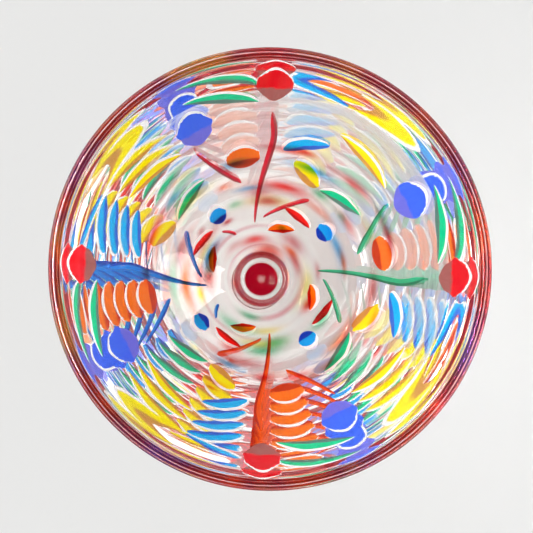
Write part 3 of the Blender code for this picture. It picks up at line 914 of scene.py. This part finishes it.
DROPS = [   # kind, enamel, (degrees, share, half width in degrees, half drop, pinch, slant)
    ("bud", "red", (0.0, 0.167, 5.8, 0.088, 0.35, 0.0)),
    ("blue_drop", "royal_blue", (28.8, 0.319, 6.8, 0.088, 0.25, 0.0)),
    ("orange_berry", "orange", (12.5, 0.550, 8.4, 0.052, 0.05, 0.0)),
    ("yellow_berry", "yellow", (69.0, 0.600, 8.4, 0.044, 0.05, -0.7)),
    ("blue_berry", "deep_blue", (38.0, 0.773, 7.2, 0.034, 0.10, 0.0)),
]
LEAVES = [  # kind, enamel, path in degrees and shares, width as a share of the wall, bluntness
    ("upper_leaf", "green", [(4.8, 0.260), (17.0, 0.213), (29.5, 0.167)], 0.047, 0.85),
    ("yellow_leaf", "yellow", [(37.5, 0.399), (51.0, 0.370), (64.0, 0.339)], 0.046, 0.85),
    ("sky_leaf", "sky_blue", [(65.7, 0.416), (75.0, 0.461), (83.5, 0.512)], 0.046, 0.5),
    ("lower_leaf", "green", [(34.0, 0.584), (46.5, 0.616), (59.0, 0.643)], 0.044, 0.85),
    ("red_petal", "scarlet", [(48.5, 0.807), (61.0, 0.799), (75.0, 0.785)], 0.029, 0.7),
    ("orange_petal", "flame", [(58.0, 0.849), (71.0, 0.865), (85.0, 0.881)], 0.029, 0.7),
]
VINES = [   # kind, path in degrees and shares, width as a share of the vine's, sprays that have it
    ("vine", [(0.0, 0.330), (-1.5, 0.464), (1.0, 0.596), (5.0, 0.732), (9.5, 0.856)], 1.0,
     (1, 2, 3, 4)),
    ("branch", [(15.5, 0.675), (22.0, 0.616), (28.0, 0.534), (32.0, 0.445)], 0.9, (1, 2, 3, 4)),
    ("twig", [(-29.0, 0.715), (-19.0, 0.768), (-9.0, 0.808), (1.0, 0.838)], 0.6, (1, 2, 3, 4)),
    ("tail", [(32.5, 0.874), (37.0, 0.856), (43.0, 0.838)], 0.5, (1, 2)),
]
VINE_ENAMELS = ["vine_red", "vine_blue", "vine_orange", "vine_green"]
UNFRAMED = ("twig", "tail")   # too slight to be nodes of the frame


def each_spray(enamel_sizes):
    """Number and starting angle of each spray."""
    return [(number, enamel_sizes.first_spray + math.tau * (number - 1) / SPRAYS)
            for number in range(1, SPRAYS + 1)]


def add_enamel(kind, number, brushwork, colors, paint):
    """Add one piece of enamel of a spray from its grid and side mark."""
    grid, side = brushwork
    node = None if kind in UNFRAMED else f"{kind}_{number}"
    add_surface(f"{kind}_enamel_{number}", grid, [enamel_of(colors, paint)], node,
                marks={"side": side})


def make_drops(sizes, enamel_sizes, colors):
    """The buds, drops and berries."""
    wall = Wall(sizes)
    for order, (kind, paint, outline) in enumerate(DROPS):
        for number, start in each_spray(enamel_sizes):
            drop = dropped(wall, enamel_sizes, start, outline, 10 * order + number)
            add_enamel(kind, number, drop, colors, paint)


def make_leaves(sizes, enamel_sizes, colors):
    """The leaves and petals."""
    wall = Wall(sizes)
    for order, (kind, paint, path, broad, bluntness) in enumerate(LEAVES):
        for number, start in each_spray(enamel_sizes):
            leaf = brushed(wall, enamel_sizes, start, path, broad * wall.length / 2,
                           enamel_sizes.height, leaf_outline(bluntness),
                           100 + 10 * order + number, enamel_sizes.flux)
            add_enamel(kind, number, leaf, colors, paint)


def make_vines(sizes, enamel_sizes, colors):
    """The vines, branches, twigs and tails, each spray in its own colour."""
    wall = Wall(sizes)
    for order, (kind, path, thin, sprays) in enumerate(VINES):
        for number, start in each_spray(enamel_sizes):
            if number in sprays:
                line = brushed(wall, enamel_sizes, start, path,
                               thin * enamel_sizes.vine_width / 2, enamel_sizes.vine_height,
                               vine_outline, 200 + 10 * order + number)
                paint = VINE_ENAMELS[number - 1]
                add_enamel(kind, number, line, colors, paint)


# ---- Stage --------------------------------------------------------------------------------------
def make_floor(stage):
    """A plain pale floor, lit from below as a light table is, so that it keeps no shadow."""
    material, tree = new_material("pale_floor")
    tone = noise(tree, object_place(tree), 3.0, detail=1.0)
    pale = mix_color(tree, tone, (0.23, 0.23, 0.228, 1.0), (0.26, 0.26, 0.255, 1.0))
    finish_tree(tree, shader_node(tree, "BsdfPrincipled", Base_Color=pale, Roughness=0.7,
                                  Specular_IOR_Level=0.0, Emission_Color=(1.0, 1.0, 0.99, 1.0),
                                  Emission_Strength=stage.floor_glow))
    half = stage.floor_half
    mesh = bpy.data.meshes.new("floor")
    corners = [(-half, -half), (half, -half), (half, half), (-half, half)]
    mesh.from_pydata([(x, y, -stage.floor_drop) for x, y in corners], [], [(0, 1, 2, 3)])
    mesh.materials.append(material)
    floor = bpy.data.objects.new("floor", mesh)
    bpy.context.scene.collection.objects.link(floor)


def make_lights(stage):
    """Even light from all round, and one soft lamp that shows in the glass but lights no floor."""
    world = bpy.data.worlds.new("soft_room")
    world.use_nodes = True
    background = world.node_tree.nodes["Background"]
    background.inputs["Color"].default_value = WHITE
    background.inputs["Strength"].default_value = stage.room_light
    bpy.context.scene.world = world
    lamp = bpy.data.lights.new("soft_lamp", "AREA")
    lamp.size = stage.lamp_size
    lamp.energy = stage.lamp_power
    holder = bpy.data.objects.new("soft_lamp", lamp)
    holder.visible_diffuse = False
    bpy.context.scene.collection.objects.link(holder)
    spot = Vector(stage.lamp_place)
    turned = (Vector(stage.lamp_aim) - spot).to_track_quat("-Z", "Y")
    holder.matrix_world = Matrix.Translation(spot) @ turned.to_matrix().to_4x4()


def make_camera(stage, sizes):
    """A camera almost straight above the mouth, with +Y at the top of the picture."""
    camera = bpy.data.cameras.new("camera")
    holder = bpy.data.objects.new("camera", camera)
    bpy.context.scene.collection.objects.link(holder)
    back = Vector((math.sin(stage.lean) * math.cos(stage.lean_azimuth),
                   math.sin(stage.lean) * math.sin(stage.lean_azimuth), math.cos(stage.lean)))
    right = Vector((0.0, 1.0, 0.0)).cross(back).normalized()
    up = back.cross(right)
    aim = Vector((0.0, 0.0, THREAD_HIGH.z - sizes.thread_radius)) + Vector(stage.aim_offset)
    distance = stage.distance * sizes.rim_radius
    turned = Matrix((right, up, back)).transposed().to_4x4()
    holder.matrix_world = Matrix.Translation(aim + back * distance) @ turned
    camera.lens = camera.sensor_width / 2 * stage.fill * stage.distance
    bpy.context.scene.camera = holder


def set_light_paths():
    """Enough bounces for light to run round inside the wall."""
    scene = bpy.context.scene
    for kind in ("max_bounces", "transmission_bounces", "glossy_bounces"):
        setattr(scene.cycles, kind, LIGHT_BOUNCES)
    scene.cycles.transparent_max_bounces = LIGHT_BOUNCES // 2
    scene.view_settings.view_transform = "Standard"


# ---- Operators ----------------------------------------------------------------------------------
class GLASSBOWL_OT_bowl(Operator):
    """Make the clear blown bowl"""

    bl_idname = "glassbowl.bowl"
    bl_label = "Blown Bowl"

    def execute(self, context):
        """Make the piece."""
        make_bowl(context.scene.bowl_sizes, context.scene.glass_colors)
        return {"FINISHED"}


class GLASSBOWL_OT_lip_thread(Operator):
    """Make the ruby thread round the lip"""

    bl_idname = "glassbowl.lip_thread"
    bl_label = "Lip Thread"

    def execute(self, context):
        """Make the piece."""
        make_thread(context.scene.bowl_sizes, context.scene.glass_colors)
        return {"FINISHED"}


class GLASSBOWL_OT_collars(Operator):
    """Make the two clear collars"""

    bl_idname = "glassbowl.collars"
    bl_label = "Collars"

    def execute(self, context):
        """Make the pieces."""
        scene = context.scene
        plain_glass("collar_glass", scene.glass_colors.clear)
        make_upper_collar(scene.stand_sizes, scene.bowl_sizes)
        make_lower_collar(scene.stand_sizes)
        return {"FINISHED"}


class GLASSBOWL_OT_stem(Operator):
    """Make the slim ruby stem"""

    bl_idname = "glassbowl.stem"
    bl_label = "Stem"

    def execute(self, context):
        """Make the piece."""
        make_stem(context.scene.stand_sizes, context.scene.glass_colors)
        return {"FINISHED"}


class GLASSBOWL_OT_foot(Operator):
    """Make the clear disc foot"""

    bl_idname = "glassbowl.foot"
    bl_label = "Foot"

    def execute(self, context):
        """Make the piece."""
        make_foot(context.scene.stand_sizes, context.scene.glass_colors)
        return {"FINISHED"}


class GLASSBOWL_OT_drops(Operator):
    """Lay the enamel buds, drops and berries"""

    bl_idname = "glassbowl.drops"
    bl_label = "Buds, Drops and Berries"

    def execute(self, context):
        """Make the pieces."""
        scene = context.scene
        make_drops(scene.bowl_sizes, scene.enamel_sizes, scene.glass_colors)
        return {"FINISHED"}


class GLASSBOWL_OT_leaves(Operator):
    """Brush the enamel leaves and petals"""

    bl_idname = "glassbowl.leaves"
    bl_label = "Leaves and Petals"

    def execute(self, context):
        """Make the pieces."""
        scene = context.scene
        make_leaves(scene.bowl_sizes, scene.enamel_sizes, scene.glass_colors)
        return {"FINISHED"}


class GLASSBOWL_OT_vines(Operator):
    """Brush the enamel vines, branches, twigs and tails"""

    bl_idname = "glassbowl.vines"
    bl_label = "Vines, Branches and Twigs"

    def execute(self, context):
        """Make the pieces."""
        scene = context.scene
        make_vines(scene.bowl_sizes, scene.enamel_sizes, scene.glass_colors)
        return {"FINISHED"}


class GLASSBOWL_OT_stage(Operator):
    """Set up the floor, the light and the camera"""

    bl_idname = "glassbowl.stage"
    bl_label = "Stage"

    def execute(self, context):
        """Make the floor, light and camera."""
        stage = context.scene.bowl_stage
        make_floor(stage)
        make_lights(stage)
        make_camera(stage, context.scene.bowl_sizes)
        set_light_paths()
        return {"FINISHED"}


OPERATORS = (GLASSBOWL_OT_bowl, GLASSBOWL_OT_lip_thread, GLASSBOWL_OT_collars, GLASSBOWL_OT_stem,
             GLASSBOWL_OT_foot, GLASSBOWL_OT_drops, GLASSBOWL_OT_leaves, GLASSBOWL_OT_vines,
             GLASSBOWL_OT_stage)


class GLASSBOWL_PT_panel(Panel):
    """Sidebar panel that lists the pieces"""

    bl_label = "Glass Bowl"
    bl_idname = "GLASSBOWL_PT_panel"
    bl_space_type = "VIEW_3D"
    bl_region_type = "UI"
    bl_category = "Glass Bowl"

    def draw(self, context):
        """One button for each operator."""
        for operator in OPERATORS:
            self.layout.operator(operator.bl_idname)


SETTINGS = {"bowl_sizes": BowlSizes, "stand_sizes": StandSizes, "enamel_sizes": EnamelSizes,
            "glass_colors": GlassColors, "bowl_stage": StageSettings}


def register():
    """Register the settings, the operators and the panel."""
    for name, group in SETTINGS.items():
        bpy.utils.register_class(group)
        setattr(bpy.types.Scene, name, PointerProperty(type=group))
    for item in (*OPERATORS, GLASSBOWL_PT_panel):
        bpy.utils.register_class(item)


def unregister():
    """Undo register."""
    for item in reversed((*OPERATORS, GLASSBOWL_PT_panel)):
        bpy.utils.unregister_class(item)
    for name, group in reversed(SETTINGS.items()):
        delattr(bpy.types.Scene, name)
        bpy.utils.unregister_class(group)


def main():
    """Make every piece in order."""
    register()
    for operator in OPERATORS:
        group, name = operator.bl_idname.split(".")
        getattr(getattr(bpy.ops, group), name)()


if __name__ == "__main__":
    main()
